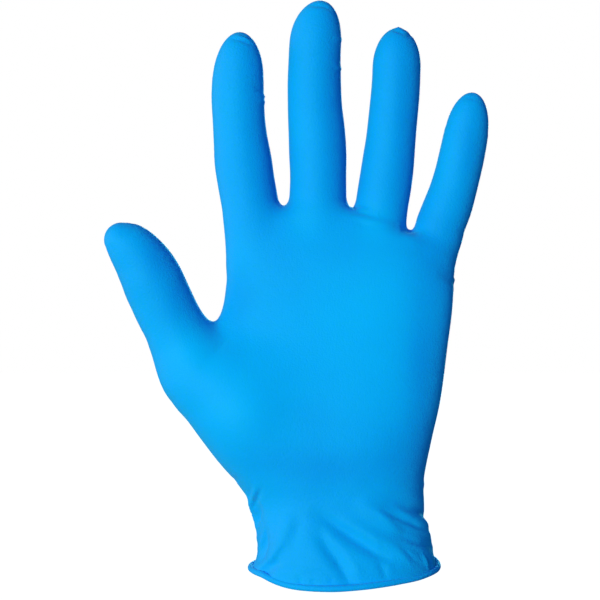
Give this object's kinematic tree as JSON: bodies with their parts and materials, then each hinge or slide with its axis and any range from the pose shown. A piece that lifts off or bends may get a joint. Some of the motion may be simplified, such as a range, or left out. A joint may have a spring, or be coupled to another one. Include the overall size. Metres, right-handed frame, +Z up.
{
  "type": "exam glove",
  "caption": "Thin close-fitting hand glove in the open form it takes when worn, hollow from the wrist opening to the fingertips, with a rolled cuff.",
  "frame": {"origin": "centre of the cuff's opening, in the plane of its rolled rim", "axes": "+Z up the middle finger, -Y out of the palm side, -X towards the thumb: a left hand's glove"},
  "size_m": [0.1536, 0.0526, 0.2357],
  "materials": {
    "nitrile": "satin blue nitrile film with a fine skin-like grain"
  },
  "bodies": {
    "root": {"glove": "nitrile"}
  },
  "joints": []
}
